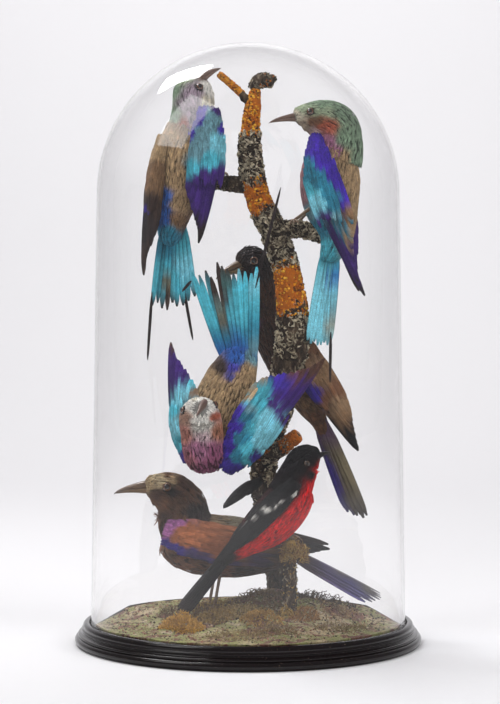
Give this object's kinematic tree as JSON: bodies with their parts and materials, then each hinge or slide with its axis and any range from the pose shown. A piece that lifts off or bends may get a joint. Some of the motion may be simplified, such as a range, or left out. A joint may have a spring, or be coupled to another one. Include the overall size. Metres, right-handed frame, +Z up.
{
  "type": "bell jar dome",
  "caption": "Glass display dome standing in the groove of a turned dark plinth, over mounted birds on a lichened trunk; the dome lifts straight off",
  "frame": {"origin": "middle of the plinth's underside, where it stands", "axes": "+Z up along the dome's axis, -Y towards the viewer, +X to the viewer's right"},
  "size_m": [0.38, 0.38, 0.656],
  "materials": {
    "ebonised_wood": "semi-gloss ebonised",
    "dome_glass": "clear polished",
    "felt": "matte felt",
    "painted_ground": "painted papier-mache, matte",
    "bark": "rough bark",
    "grey_lichen": "matte, dry",
    "orange_lichen": "matte, dry",
    "moss": "matte, dry",
    "screw_brass": "dull",
    "iron_wire": "annealed",
    "roller_plumage": "soft feather sheen",
    "roller_wing": "soft feather sheen",
    "rufous_plumage": "soft feather sheen",
    "rufous_wing": "soft feather sheen",
    "shrike_plumage": "soft feather sheen",
    "bill_horn": "satin horn",
    "leg_skin": "dry scale",
    "eye_glass": "polished"
  },
  "bodies": {
    "base": {"plinth": "ebonised_wood", "baize_disc": "felt", "seat_felt": "felt", "groundwork": "painted_ground", "post": "bark", "trunk": "bark", "top_knob": "bark", "top_twig": "orange_lichen", "perch_left": "bark", "perch_right": "grey_lichen", "lower_stub": "bark", "fixing_screws": "screw_brass", "moss_tufts": "moss", "post_moss": "moss", "orange_lichen": "orange_lichen", "grey_lichen": "grey_lichen", "mounting_wires": "iron_wire", "left_roller_body": "roller_plumage", "left_roller_bill": "bill_horn", "left_roller_eyes": "eye_glass", "left_roller_left_wing": "roller_wing", "left_roller_right_wing": "roller_wing", "left_roller_tail": "roller_wing", "left_roller_legs": "leg_skin", "right_roller_body": "roller_plumage", "right_roller_bill": "bill_horn", "right_roller_eyes": "eye_glass", "right_roller_left_wing": "roller_wing", "right_roller_right_wing": "roller_wing", "right_roller_tail": "roller_wing", "right_roller_legs": "leg_skin", "diving_roller_body": "roller_plumage", "diving_roller_bill": "bill_horn", "diving_roller_eyes": "eye_glass", "diving_roller_left_wing": "roller_wing", "diving_roller_right_wing": "roller_wing", "diving_roller_tail": "roller_wing", "diving_roller_legs": "leg_skin", "rear_roller_body": "rufous_plumage", "rear_roller_bill": "bill_horn", "rear_roller_eyes": "eye_glass", "rear_roller_left_wing": "rufous_wing", "rear_roller_right_wing": "rufous_wing", "rear_roller_tail": "rufous_wing", "rear_roller_legs": "leg_skin", "lower_roller_body": "rufous_plumage", "lower_roller_bill": "bill_horn", "lower_roller_eyes": "eye_glass", "lower_roller_left_wing": "rufous_wing", "lower_roller_right_wing": "rufous_wing", "lower_roller_tail": "rufous_wing", "lower_roller_legs": "leg_skin", "shrike_body": "shrike_plumage", "shrike_bill": "bill_horn", "shrike_eyes": "eye_glass", "shrike_left_wing": "shrike_plumage", "shrike_right_wing": "shrike_plumage", "shrike_tail": "shrike_plumage", "shrike_legs": "leg_skin"},
    "dome": {"glass_dome": "dome_glass"}
  },
  "joints": [
    {"name": "dome_lift", "type": "slide", "parent": "base", "child": "dome", "axis": [0, 0, 1], "range_m": [0, 0.66]}
  ]
}
